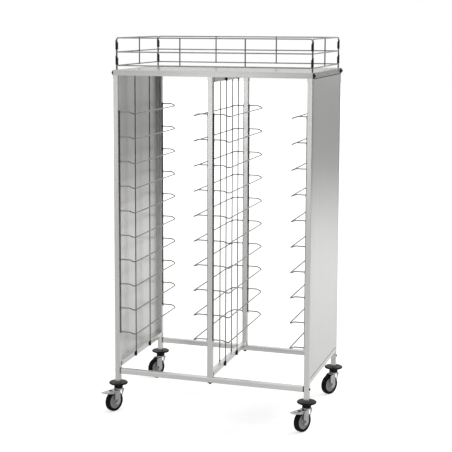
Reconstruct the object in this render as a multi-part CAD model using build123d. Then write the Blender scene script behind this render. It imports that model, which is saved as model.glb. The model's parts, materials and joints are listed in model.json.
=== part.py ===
from build123d import *
from math import cos, radians, sin, sqrt
import os

# Tray trolley with two bays, each holding gastronorm trays on ten levels of bent wire.
# Millimetres. X runs along the front to the right, Y towards the back, Z up from the floor.
# Everything is laid out about the middle of the frame, and moved to the origin as it is written.

# Frame of square tube
overall_width = 975.0
overall_depth = 625.0
deck_height = 1675.0
tube_side = 25.0
tube_wall = 1.5
tube_corner = 2.0
tube_bore_corner = 0.6
front_rail_height = 185.0
side_rail_height = 218.0

# Folded top and side sheets
deck_sheet = 1.5
deck_corner = 3.0
deck_bend = 2.0
panel_sheet = 1.2
panel_return = 12.0
panel_bend = 1.1
panel_side_gap = 0.5
panel_top_seal = 3.5
panel_foot_seal = 3.0
panel_seal_width = 8.0
panel_seal_inset = 0.4

# Racks of bent wire
level_count = 10
level_pitch = 120.0
lowest_level_height = 394.5
rack_wire = 6.0
rack_reach = 76.0
rack_leg = 50.0
rack_drop = 10.4
rack_corner = 20.0
rack_bend = 12.0
upright_wire = 5.0
upright_overrun = 6.0

# Guard wires between the trays and the sides, and the clips that hold their ends
guard_wire = 5.0
guard_spacing = 200.0
guard_end_margin = 4.0
guard_clip_width = 7.6
guard_clip_depth = 6.4
guard_clip_height = 27.0
guard_clip_margin = 0.5

# Wire gallery around the deck
gallery_wire = 6.0
gallery_side_inset = 10.0
gallery_end_inset = 26.0
gallery_low_height = 20.0
gallery_middle_height = 84.6
gallery_top_height = 151.5
gallery_bend = 12.0
gallery_leg_gap = 0.3
gallery_upright_spacing = 320.0
gallery_clip_height = 43.0
gallery_clip_slope = 11.0
gallery_clip_wall = 1.2
gallery_clip_reach = 5.6
gallery_clip_margin = 0.4
gallery_clip_corner = 1.5

# Fasteners and plugs of the frame
washer_diameter = 27.0
washer_thickness = 2.5
bolt_diameter = 8.0
bolt_head_diameter = 13.0
bolt_head_height = 7.0
nut_width = 13.0
nut_height = 6.5
screw_diameter = 6.0
screw_head_diameter = 10.5
screw_head_height = 4.5
hole_clearance = 0.4
thread_clearance = 0.05
end_plug_flange = 4.5
end_plug_depth = 22.0
plug_clearance = 0.1
hole_plug_place = -272.0
hole_plug_diameter = 26.0
hole_plug_shank = 20.0
hole_plug_height = 2.5
hole_plug_depth = 8.0

# Casters: wheel, fork, stem, collar, bumper and brake
wheel_diameter = 100.0
wheel_width = 24.0
hub_diameter = 75.0
hub_rim_width = 21.0
hub_rim_depth = 4.5
hub_web_width = 14.0
hub_boss_diameter = 26.0
hub_boss_gap = 0.3
bush_diameter = 12.0
running_clearance = 0.05
axle_diameter = 8.0
axle_head_height = 5.3
axle_end = 2.0
caster_trail = 30.0
fork_sheet = 3.0
fork_gap = 31.0
fork_head_diameter = 44.0
fork_wheel_gap = 4.0
fork_head_rise = 3.7
fork_head_round = 2.5
fork_back = 21.0
fork_front = 24.0
fork_shoulder_drop = 12.0
fork_leg_radius = 17.0
fork_leg_centre = 22.0
fork_bend = 5.0
king_pin_diameter = 12.0
king_pin_head_diameter = 22.0
king_pin_head_height = 3.4
swivel_gap = 0.3
stem_diameter = 18.0
stem_flange_diameter = 30.0
stem_flange_thickness = 2.4
expander_clearance = 0.3
expander_screw_gap = 5.5
collar_diameter = 43.0
collar_height = 21.0
collar_groove = 1.5
bumper_diameter = 92.0
bumper_thickness = 9.0
bumper_rise = 1.0
bumper_round = 3.8
pedal_sheet = 2.0
pedal_side_gap = 0.4
pedal_start = 30.0
pedal_length = 103.0
pedal_step_down = 1.0
pedal_fall = 2.0
pedal_width = 34.0
pedal_flare_start = 46.0
pedal_flare_end = 56.0
pedal_corner = 5.0
pedal_pivot_place = 33.0
pedal_pivot_drop = 13.0
pedal_pivot_boss = 6.0
pedal_flange_end = 94.0
pedal_window_start = 44.0
pedal_tongue_place = 61.0
pedal_tongue_width = 15.0
pedal_tongue_gap = 4.0
pedal_hole_place = 81.0
pedal_hole_diameter = 8.0
rivet_diameter = 5.0
rivet_head_diameter = 9.0
rivet_head_height = 2.0
rivet_end_gap = 0.2

# How far each caster is turned, in degrees from trailing to the left towards trailing to the front
caster_turns = {"front_left": 65.0, "front_right": 62.0, "rear_left": 60.0, "rear_right": 59.0}
braked_casters = ["front_left", "front_right"]

# Heights of the casters, from the floor up
axle_height = wheel_diameter / 2
strap_underside = wheel_diameter + fork_wheel_gap
strap_top = strap_underside + fork_sheet
fork_head_height = strap_top + fork_head_rise
fork_underside = fork_head_height - fork_sheet
collar_foot = fork_head_height + swivel_gap
bumper_foot = collar_foot + collar_height
post_foot_height = bumper_foot + bumper_thickness
expander_top = front_rail_height + tube_side / 2 - screw_diameter / 2 - expander_screw_gap
pedal_height = strap_top - pedal_step_down
pedal_pivot_height = pedal_height - pedal_pivot_drop
pedal_channel_width = fork_gap - 2 * pedal_side_gap

# Places that follow from the sizes above
post_x = overall_width / 2 - tube_side / 2
post_y = overall_depth / 2 - tube_side / 2
post_inner_x = post_x - tube_side / 2
post_inner_y = post_y - tube_side / 2
frame_top = deck_height - deck_sheet
upper_rail_height = frame_top - tube_side
upper_middle_rail_height = upper_rail_height - tube_side
middle_post_foot = front_rail_height + tube_side
side_rail_x = post_x - panel_sheet
side_rail_inner_x = side_rail_x - tube_side / 2
level_heights = [lowest_level_height + level_pitch * i for i in range(level_count)]
gallery_x = overall_width / 2 + deck_sheet - gallery_side_inset
gallery_y = overall_depth / 2 + deck_sheet - gallery_end_inset
gallery_side_y = gallery_y - gallery_wire - gallery_leg_gap
corners = {
    "front_left": (-1, -1),
    "front_right": (1, -1),
    "rear_left": (-1, 1),
    "rear_right": (1, 1),
}

# The origin is on the floor in the middle of the space that the parked trolley takes up.
# The left brake pedal reaches furthest to the front and to the left, the bumpers to the back and right.
left_turn = radians(caster_turns["front_left"])
pedal_reach_x = pedal_length * cos(left_turn) + pedal_width / 2 * sin(left_turn)
pedal_reach_y = pedal_length * sin(left_turn) + pedal_width / 2 * cos(left_turn)
origin_x = round((pedal_reach_x - bumper_diameter / 2) / 2)
origin_y = round((pedal_reach_y - bumper_diameter / 2) / 2)


def rod(start, end, diameter):
    """Straight round rod between two points."""
    start, end = Vector(*start), Vector(*end)
    return Plane(origin=start, z_dir=end - start) * extrude(Circle(diameter / 2), amount=(end - start).length)


def bent_wire(points, radii, diameter):
    """Round wire along straight runs that are joined by bends."""
    path = FilletPolyline(*points, radius=radii)
    return sweep(Plane(origin=path @ 0, z_dir=path % 0) * Circle(diameter / 2), path=path)


def turned(outline):
    """Solid of revolution about Z from a closed outline of (radius, height) points."""
    return revolve(Plane.XZ * make_face(Polyline(*outline, close=True)), axis=Axis.Z)


def block(low, high):
    """Box between two opposite corners."""
    size = [b - a for a, b in zip(low, high)]
    middle = [(a + b) / 2 for a, b in zip(low, high)]
    return Pos(*middle) * Box(*size)


def round_head(diameter, height):
    """Screw head with a rounded top, standing on the XY plane."""
    head = extrude(Circle(diameter / 2), amount=height)
    return fillet(head.edges().group_by(Axis.Z)[-1], height * 0.45)


def hexagon(width, height):
    """Hexagonal nut or bolt head, given across its flats, standing on the XY plane."""
    return extrude(RegularPolygon(width / 2, 6, major_radius=False), amount=height)


def square_tube(length):
    """Tube of the frame, standing on the XY plane."""
    bore_side = tube_side - 2 * tube_wall
    outline = RectangleRounded(tube_side, tube_side, tube_corner)
    bore = RectangleRounded(bore_side, bore_side, tube_bore_corner)
    return extrude(outline - bore, amount=length)


def tube_along_x(half_length, y, underside):
    """Level tube from left to right, centred on the frame."""
    return Pos(-half_length, y, underside + tube_side / 2) * Rot(0, 90, 0) * square_tube(2 * half_length)


def tube_along_y(half_length, x, underside):
    """Level tube from front to back, centred on the frame."""
    return Pos(x, -half_length, underside + tube_side / 2) * Rot(-90, 0, 0) * square_tube(2 * half_length)


def corner_post(x_sign, y_sign):
    """Post with a hole right through for the rail screw and one in its outer wall for the deck bolt."""
    x, y = x_sign * post_x, y_sign * post_y
    post = Pos(x, y, post_foot_height) * square_tube(frame_top - post_foot_height)
    screw_height = front_rail_height + tube_side / 2
    post -= rod(
        (x - tube_side, y, screw_height),
        (x + tube_side, y, screw_height),
        screw_diameter + hole_clearance,
    )
    bolt_height = upper_rail_height + tube_side / 2
    return post - rod(
        (x, y, bolt_height), (x + x_sign * tube_side, y, bolt_height), bolt_diameter + hole_clearance
    )


def lower_cross_rail(y):
    """Front or rear rail between the end plugs, with holes for the bolt up into the middle post."""
    rail = tube_along_x(post_inner_x - end_plug_flange, y, front_rail_height)
    return rail - rod(
        (0, y, front_rail_height - tube_wall),
        (0, y, middle_post_foot + tube_wall),
        bolt_diameter + hole_clearance,
    )


def top_sheet():
    """Deck folded down on all four sides, over the upper rails and post tops."""
    width, depth = overall_width + 2 * deck_sheet, overall_depth + 2 * deck_sheet
    outside = extrude(RectangleRounded(width, depth, deck_corner), amount=deck_sheet + tube_side)
    outside = fillet(outside.edges().group_by(Axis.Z)[-1], deck_bend)
    inside = extrude(
        RectangleRounded(overall_width, overall_depth, deck_corner - deck_sheet), amount=tube_side
    )
    sheet = Pos(0, 0, upper_rail_height) * (outside - inside)
    for x_sign, y_sign in corners.values():
        height = upper_rail_height + tube_side / 2
        sheet -= rod(
            (x_sign * post_x, y_sign * post_y, height),
            (x_sign * (post_x + tube_side), y_sign * post_y, height),
            bolt_diameter + hole_clearance,
        )
    return sheet


def side_panel(x_sign):
    """Sheet between the corner posts, folded in at its foot and beside each post."""
    outer_x = overall_width / 2
    inner_x = outer_x - panel_return
    half_depth = post_inner_y - panel_side_gap
    foot = side_rail_height + tube_side + panel_foot_seal
    top = upper_rail_height - panel_top_seal
    panel = block((inner_x, -half_depth, foot), (outer_x, half_depth, top))
    outer_edges = panel.edges().filter_by(Axis.Z).group_by(Axis.X)[-1]
    outer_edges += panel.edges().filter_by(Axis.Y).group_by(Axis.Z)[0].group_by(Axis.X)[-1]
    panel = fillet(outer_edges, panel_bend)
    panel -= block(
        (inner_x, panel_sheet - half_depth, foot + panel_sheet),
        (outer_x - panel_sheet, half_depth - panel_sheet, top),
    )
    return panel if x_sign > 0 else mirror(panel, about=Plane.YZ)


def panel_seals():
    """Black strips between each side panel and the rails above and below it."""
    half_depth = post_inner_y - panel_side_gap
    outer_x = overall_width / 2 - panel_seal_inset
    seals = []
    for foot, thickness in (
        (side_rail_height + tube_side, panel_foot_seal),
        (upper_rail_height - panel_top_seal, panel_top_seal),
    ):
        low = (outer_x - panel_seal_width, -half_depth, foot)
        seal = block(low, (outer_x, half_depth, foot + thickness))
        seals += [seal, mirror(seal, about=Plane.YZ)]
    return seals


def rack(face_x, inward):
    """Ten bent wires on two uprights against the faces of a front and a rear post."""
    start = upright_wire
    low = level_heights[0] - upright_overrun
    high = level_heights[-1] + upright_overrun
    pieces = []
    for y in (-post_y, post_y):
        pieces.append(rod((upright_wire / 2, y, low), (upright_wire / 2, y, high), upright_wire))
    for height in level_heights:
        run_height = height - rack_drop
        route = [
            (start, -post_y, height),
            (rack_leg, -post_y, height),
            (rack_reach, -post_y, run_height),
            (rack_reach, post_y, run_height),
            (rack_leg, post_y, height),
            (start, post_y, height),
        ]
        pieces.append(bent_wire(route, [rack_bend, rack_corner, rack_corner, rack_bend], rack_wire))
    turn = 0 if inward > 0 else 180
    return [Pos(face_x, 0, 0) * Rot(0, 0, turn) * piece for piece in pieces]


# Each guard wire stands against a lower and an upper rail: (their inner face, inward, both undersides)
guard_places = [
    (-side_rail_inner_x, 1, side_rail_height, upper_rail_height),
    (-tube_side / 2, -1, middle_post_foot, upper_middle_rail_height),
    (tube_side / 2, 1, middle_post_foot, upper_middle_rail_height),
    (side_rail_inner_x, -1, side_rail_height, upper_rail_height),
]


def guard_wires():
    """Upright wires that keep the trays off the sides and off each other."""
    wires = []
    for face_x, inward, lower_rail, upper_rail in guard_places:
        x = face_x + inward * guard_wire / 2
        low, high = lower_rail + guard_end_margin, upper_rail + tube_side - guard_end_margin
        for y in (-guard_spacing / 2, guard_spacing / 2):
            wires.append(rod((x, y, low), (x, y, high), guard_wire))
    return wires


def guard_clips():
    """Plastic clips over both ends of every guard wire, each closed at its far end."""
    outline = SlotOverall(guard_clip_height, guard_clip_width, rotation=90)
    body = extrude(Plane.YZ * outline, amount=guard_clip_depth)
    body = fillet(body.faces().sort_by(Axis.X)[-1].edges(), 1.2)
    middle = guard_clip_margin + guard_clip_height / 2
    bore = extrude(Circle(guard_wire / 2 + thread_clearance), amount=guard_clip_height)
    clip = body - Pos(guard_wire / 2, 0, guard_end_margin - middle) * bore
    clips = []
    for face_x, inward, lower_rail, upper_rail in guard_places:
        turn = 0 if inward > 0 else 180
        for y in (-guard_spacing / 2, guard_spacing / 2):
            low = Pos(face_x, y, lower_rail + middle) * Rot(0, 0, turn)
            high = Pos(face_x, y, upper_rail + tube_side - middle) * Rot(180, 0, turn)
            clips += [low * clip, high * clip]
    return clips


def gallery_side(half_length, upright_places, lap):
    """One side of the gallery, drawn in the XZ plane: a bent frame, two level wires and its uprights.

    The level wires are cut to the round of the legs. The uprights lie against the inside of the others.
    """
    top = gallery_top_height
    route = [(-half_length, 0, 0), (-half_length, 0, top), (half_length, 0, top), (half_length, 0, 0)]
    frame = bent_wire(route, [gallery_bend, gallery_bend], gallery_wire)
    pieces = [frame]
    for height in (gallery_low_height, gallery_middle_height):
        pieces.append(rod((-half_length, 0, height), (half_length, 0, height), gallery_wire) - frame)
    foot = gallery_low_height - gallery_wire / 2
    head = gallery_top_height + gallery_wire / 2
    for x in upright_places:
        pieces.append(rod((x, lap * gallery_wire, foot), (x, lap * gallery_wire, head), gallery_wire))
    return pieces


def gallery():
    """The four sides of the gallery, standing on the deck."""
    half_spacing = gallery_upright_spacing / 2
    sides = {}
    for name, y_sign in (("gallery_front", -1), ("gallery_rear", 1)):
        pieces = gallery_side(gallery_x, (-half_spacing, half_spacing), -y_sign)
        sides[name] = [Pos(0, y_sign * gallery_y, deck_height) * piece for piece in pieces]
    for name, x_sign in (("gallery_left", -1), ("gallery_right", 1)):
        pieces = gallery_side(gallery_side_y, (0,), x_sign)
        place = Pos(x_sign * gallery_x, 0, deck_height) * Rot(0, 0, 90)
        sides[name] = [place * piece for piece in pieces]
    return sides


def gallery_clips():
    """Plastic clips that hold the two legs together at each corner of the deck, with a sloping top."""
    legs_middle = (gallery_y + gallery_side_y) / 2
    legs_spread = (gallery_y - gallery_side_y) / 2
    half_depth = legs_spread + gallery_wire / 2 + gallery_clip_wall
    outer_x = gallery_wire / 2 + gallery_clip_wall
    height = gallery_clip_height
    outline = make_face(
        Polyline(
            (outer_x, 0), (outer_x, height), (-gallery_clip_reach, height - gallery_clip_slope),
            (-gallery_clip_reach, 0), close=True,
        )
    )
    body = extrude(Plane.XZ * outline, amount=half_depth, both=True)
    body = fillet(body.edges().filter_by(Axis.Z), gallery_clip_corner)
    for y in (-legs_spread, legs_spread):
        body -= rod((0, y, 0), (0, y, height), gallery_wire + 2 * thread_clearance)
    low = deck_height + gallery_low_height + gallery_wire / 2 + gallery_clip_margin
    high = deck_height + gallery_top_height - gallery_bend - gallery_clip_margin - height
    clips = []
    for x_sign, y_sign in corners.values():
        hand = body if x_sign > 0 else mirror(body, about=Plane.YZ)
        for foot in (low, high):
            clips.append(Pos(x_sign * gallery_x, y_sign * legs_middle, foot) * hand)
    return clips


def fastener_places():
    """Places of the deck bolts through the side flanges and of the bolts up into the middle posts.

    Each is where the washer meets the frame, with the shank along +Z.
    """
    height = upper_rail_height + tube_side / 2
    deck = []
    for x_sign, y_sign in corners.values():
        x = x_sign * (overall_width / 2 + deck_sheet)
        deck.append(Pos(x, y_sign * post_y, height) * Rot(0, -90 * x_sign, 0))
    posts = [Pos(0, y, front_rail_height) for y in (-post_y, post_y)]
    return deck, posts


def frame_bolts():
    """Round-headed bolts: short ones in the deck flanges, long ones through the rails into the posts."""
    deck, posts = fastener_places()
    head = Pos(0, 0, -washer_thickness) * Rot(180, 0, 0) * round_head(bolt_head_diameter, bolt_head_height)
    deck_grip = deck_sheet + tube_wall + nut_height + tube_wall
    post_grip = tube_side + end_plug_depth
    bolts = []
    for places, grip in ((deck, deck_grip), (posts, post_grip)):
        shank = rod((0, 0, -washer_thickness), (0, 0, grip), bolt_diameter)
        bolts += [place * (head + shank) for place in places]
    return bolts


def frame_washers():
    """Wide black washers under the bolt heads."""
    deck, posts = fastener_places()
    ring = Circle(washer_diameter / 2) - Circle(bolt_diameter / 2 + thread_clearance)
    washer = extrude(ring, amount=-washer_thickness)
    return [place * washer for place in deck + posts]


def frame_nuts():
    """Nuts of the deck bolts, inside the corner posts."""
    deck, _ = fastener_places()
    nut = hexagon(nut_width, nut_height) - Cylinder(bolt_diameter / 2 + thread_clearance, 3 * nut_height)
    return [place * Pos(0, 0, deck_sheet + tube_wall) * nut for place in deck]


def tube_plug(flange, bore):
    """Plastic plug for a tube's end, with its flange under the XY plane and its shank above it."""
    shank_side = tube_side - 2 * tube_wall - 2 * plug_clearance
    plug = extrude(RectangleRounded(shank_side, shank_side, tube_bore_corner), amount=end_plug_depth)
    if flange > 0:
        plug += extrude(RectangleRounded(tube_side, tube_side, tube_corner), amount=-flange)
    return plug - Cylinder(bore / 2 + thread_clearance, 4 * end_plug_depth)


def rail_end_plugs():
    """Plugs in both ends of the front and rear rails, with a flange against the post."""
    plug = tube_plug(end_plug_flange, screw_diameter)
    end_x = post_inner_x - end_plug_flange
    height = front_rail_height + tube_side / 2
    return [
        Pos(x_sign * end_x, y_sign * post_y, height) * Rot(0, -90 * x_sign, 0) * plug
        for x_sign, y_sign in corners.values()
    ]


def post_inserts():
    """Threaded plugs in the feet of the middle posts."""
    plug = tube_plug(0, bolt_diameter)
    return [Pos(0, y, middle_post_foot) * plug for y in (-post_y, post_y)]


def rail_screws():
    """Round-headed screws through the corner posts into the front and rear rails."""
    head = Rot(180, 0, 0) * round_head(screw_head_diameter, screw_head_height)
    length = tube_side + end_plug_flange + end_plug_depth
    screw = head + rod((0, 0, 0), (0, 0, length), screw_diameter)
    height = front_rail_height + tube_side / 2
    return [
        Pos(x_sign * overall_width / 2, y_sign * post_y, height) * Rot(0, -90 * x_sign, 0) * screw
        for x_sign, y_sign in corners.values()
    ]


def rail_hole_plug():
    """Black plug in the underside of the front rail."""
    plug = Rot(180, 0, 0) * round_head(hole_plug_diameter, hole_plug_height)
    plug += extrude(Circle(hole_plug_shank / 2), amount=hole_plug_depth)
    return Pos(hole_plug_place, -post_y, front_rail_height) * plug


def caster_place(name):
    """Where a caster stands: its swivel axis is at the post, and it trails along its own +X."""
    x_sign, y_sign = corners[name]
    return Pos(x_sign * post_x, y_sign * post_y, 0) * Rot(0, 0, 180 + caster_turns[name])


def upright_places():
    """The four swivel axes."""
    return [Pos(x_sign * post_x, y_sign * post_y, 0) for x_sign, y_sign in corners.values()]


def caster_bumper():
    """Rubber disc under the foot of a post, with a rounded rim."""
    bore, rim = stem_diameter / 2 + plug_clearance, bumper_diameter / 2
    crown = tube_side * 0.75
    disc = turned(
        [
            (bore, bumper_foot), (rim, bumper_foot), (rim, post_foot_height - bumper_rise),
            (crown, post_foot_height), (bore, post_foot_height),
        ]
    )
    rim_edges = disc.edges().filter_by(GeomType.CIRCLE).filter_by(lambda e: e.radius > rim - 0.1)
    return fillet(rim_edges, bumper_round)


def caster_collar():
    """Plastic collar between the bumper and the fork, grooved, with a recess for the stem's flange."""
    bore, rim = stem_diameter / 2 + plug_clearance, collar_diameter / 2
    recess = stem_flange_diameter / 2 + plug_clearance
    recess_top = fork_head_height + stem_flange_thickness
    groove = rim - collar_groove
    groove_height = collar_foot + collar_height / 2
    return turned(
        [
            (recess, collar_foot), (rim - 1, collar_foot), (rim, collar_foot + 1),
            (rim, groove_height - collar_groove), (groove, groove_height),
            (rim, groove_height + collar_groove), (rim, bumper_foot), (bore, bumper_foot),
            (bore, recess_top), (recess, recess_top),
        ]
    )


def caster_stem():
    """Steel stem: a riveted king pin through the fork, a flange on it, and an expander in the post."""
    pin, head = king_pin_diameter / 2, king_pin_head_diameter / 2
    shaft, flange = stem_diameter / 2, stem_flange_diameter / 2
    head_top = fork_underside - swivel_gap
    stem = turned(
        [
            (0, head_top - king_pin_head_height), (head - 1, head_top - king_pin_head_height),
            (head, head_top - king_pin_head_height + 1), (head, head_top), (pin, head_top),
            (pin, fork_head_height), (flange, fork_head_height),
            (flange, fork_head_height + stem_flange_thickness),
            (shaft, fork_head_height + stem_flange_thickness), (shaft, post_foot_height),
            (0, post_foot_height),
        ]
    )
    side = tube_side - 2 * tube_wall - 2 * expander_clearance
    return stem + Pos(0, 0, post_foot_height) * extrude(
        RectangleRounded(side, side, 2 * tube_bore_corner), amount=expander_top - post_foot_height
    )


def fork():
    """Pressed fork: sheet bent down over the wheel into two tapering legs, with a raised swivel head."""
    outer_width = fork_gap + 2 * fork_sheet
    length = 2 * (caster_trail + fork_leg_radius)
    outside = Box(length, outer_width, strap_top)
    outside = fillet(outside.edges().filter_by(Axis.X).group_by(Axis.Z)[-1], fork_bend)
    inside = Box(length, fork_gap, strap_underside)
    inside = fillet(inside.edges().filter_by(Axis.X).group_by(Axis.Z)[-1], fork_bend - fork_sheet)
    channel = Pos(0, 0, strap_top / 2) * outside - Pos(0, 0, strap_underside / 2) * inside
    shoulder_x = fork_leg_centre + fork_leg_radius
    shoulder_z = strap_top - fork_shoulder_drop
    crown = Polyline(
        (-fork_back, strap_top), (fork_front, strap_top), (shoulder_x, shoulder_z),
        (-fork_back + fork_sheet, shoulder_z), close=True,
    )
    leg_end = Pos(fork_leg_centre, axle_height) * Circle(fork_leg_radius)
    profile = make_hull(crown.edges() + leg_end.edges())
    body = channel & extrude(Plane.XZ * profile, amount=outer_width, both=True)
    head = extrude(Circle(fork_head_diameter / 2), amount=fork_sheet + fork_head_rise)
    head = Pos(0, 0, strap_underside) * head
    head = fillet(head.edges().group_by(Axis.Z)[-1], fork_head_round)
    body += head
    body -= Pos(0, 0, fork_underside / 2) * Cylinder(fork_head_diameter / 2 - fork_sheet, fork_underside)
    body -= Cylinder(king_pin_diameter / 2 + running_clearance, 4 * fork_head_height)
    half = outer_width
    body -= rod(
        (caster_trail, -half, axle_height),
        (caster_trail, half, axle_height),
        axle_diameter + 2 * thread_clearance,
    )
    return body


def braked_fork():
    """Fork with holes for the rivets of the brake pedal."""
    ends = [(pedal_pivot_place, y, pedal_pivot_height) for y in (-fork_gap, fork_gap)]
    return fork() - rod(*ends, rivet_diameter + 2 * thread_clearance)


def axle_set():
    """Axle bolt with its hexagonal head, the nut and the steel bush that the legs clamp."""
    leg_face = fork_gap / 2 + fork_sheet
    place = Pos(caster_trail, 0, axle_height) * Rot(-90, 0, 0)
    bolt = Pos(0, 0, -leg_face - axle_head_height) * hexagon(nut_width, axle_head_height)
    bolt += rod((0, 0, -leg_face), (0, 0, leg_face + nut_height + axle_end), axle_diameter)
    nut = Pos(0, 0, leg_face) * (
        hexagon(nut_width, nut_height) - Cylinder(axle_diameter / 2 + thread_clearance, 4 * nut_height)
    )
    bush_face = Circle(bush_diameter / 2) - Circle(axle_diameter / 2 + thread_clearance)
    bush = extrude(bush_face, amount=fork_gap / 2, both=True)
    return [place * bolt, place * nut, place * bush]


def hub():
    """Grey plastic wheel centre: boss, thin web and rim, running on the bush."""
    bore = bush_diameter / 2 + running_clearance
    boss, rim = hub_boss_diameter / 2, hub_diameter / 2
    boss_end = fork_gap / 2 - hub_boss_gap
    web, rim_end = hub_web_width / 2, hub_rim_width / 2
    half = [
        (bore, boss_end), (boss, boss_end), (boss + 3, web), (rim - hub_rim_depth - 2, web),
        (rim - hub_rim_depth, rim_end), (rim, rim_end),
    ]
    outline = half + [(radius, -height) for radius, height in reversed(half)]
    return Pos(caster_trail, 0, axle_height) * Rot(-90, 0, 0) * turned(outline)


def tyre():
    """Black rubber tyre with a crowned tread and rounded shoulders."""
    seat, tread, half = hub_diameter / 2, wheel_diameter / 2, wheel_width / 2
    rim_end = hub_rim_width / 2
    shoulder = tread - 4
    outline = Polyline((seat, -rim_end), (seat, rim_end), (seat + 3, half), (shoulder, half))
    outline += ThreePointArc((shoulder, half), (tread - 1.2, half - 1.8), (tread - 0.4, half - 5))
    outline += ThreePointArc((tread - 0.4, half - 5), (tread, 0), (tread - 0.4, 5 - half))
    outline += ThreePointArc((tread - 0.4, 5 - half), (tread - 1.2, 1.8 - half), (shoulder, -half))
    outline += Polyline((shoulder, -half), (seat + 3, -half), (seat, -rim_end))
    ring = revolve(Plane.XZ * make_face(outline), axis=Axis.Z)
    return Pos(caster_trail, 0, axle_height) * Rot(-90, 0, 0) * ring


def pedal():
    """Brake pedal: a channel over the wheel with a lanced tongue, flared to a foot plate at its end."""
    inner, outer = pedal_channel_width / 2 - pedal_sheet, pedal_channel_width / 2
    end_height = pedal_height - pedal_fall
    plate_side = make_face(
        Polyline(
            (pedal_start, pedal_height), (pedal_length, end_height), (pedal_length, end_height - pedal_sheet),
            (pedal_start, pedal_height - pedal_sheet), close=True,
        )
    )
    plate = extrude(Plane.XZ * plate_side, amount=pedal_width / 2, both=True)
    plan = make_face(
        Polyline(
            (pedal_start, outer), (pedal_flare_start, outer), (pedal_flare_end, pedal_width / 2),
            (pedal_length, pedal_width / 2), (pedal_length, -pedal_width / 2),
            (pedal_flare_end, -pedal_width / 2), (pedal_flare_start, -outer), (pedal_start, -outer),
            close=True,
        )
    )
    tip_corners = plan.vertices().sort_by(Axis.X)[-2:]
    plan = fillet(tip_corners, pedal_corner)
    window = Pos((pedal_window_start + pedal_tongue_place) / 2, 0) * Rectangle(
        pedal_tongue_place - pedal_window_start, pedal_tongue_width
    )
    hole = Pos(pedal_hole_place, 0) * Circle(pedal_hole_diameter / 2)
    plate &= extrude(plan - window - hole, amount=2 * pedal_height)
    boss = Pos(pedal_pivot_place, pedal_pivot_height) * Circle(pedal_pivot_boss)
    seam = Polyline(
        (pedal_start, pedal_height - pedal_sheet / 2), (pedal_flange_end, end_height - pedal_sheet),
        (pedal_flange_end, end_height - 2 * pedal_sheet), close=True,
    )
    side = make_hull(seam.edges() + boss.edges())
    solid_sides = extrude(Plane.XZ * side, amount=outer, both=True)
    solid_sides -= Pos(0, 0, pedal_height / 2) * Box(4 * pedal_length, 2 * inner, 2 * pedal_height)
    # The tongue hangs from the far edge of its window and stops short of the tread.
    tongue_end = pedal_tongue_place + pedal_sheet
    reach = wheel_diameter / 2 + pedal_tongue_gap
    foot = axle_height + sqrt(reach**2 - (tongue_end - caster_trail) ** 2)
    tongue = block(
        (pedal_tongue_place, -pedal_tongue_width / 2, foot),
        (tongue_end, pedal_tongue_width / 2, end_height),
    )
    ends = [(pedal_pivot_place, y, pedal_pivot_height) for y in (-fork_gap, fork_gap)]
    return plate + solid_sides + tongue - rod(*ends, rivet_diameter + 2 * running_clearance)


def pedal_rivets():
    """Two rivets, one in each leg of the fork, that carry the brake pedal."""
    leg_face = fork_gap / 2 + fork_sheet
    inner_end = wheel_width / 2 + 2 * rivet_end_gap
    rivets = []
    for side, turn in ((1, 90), (-1, -90)):
        rivet = round_head(rivet_head_diameter, rivet_head_height)
        rivet += rod((0, 0, 0), (0, 0, inner_end - leg_face), rivet_diameter)
        place = Pos(pedal_pivot_place, side * leg_face, pedal_pivot_height) * Rot(-turn, 0, 0)
        rivets.append(place * rivet)
    return rivets


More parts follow.
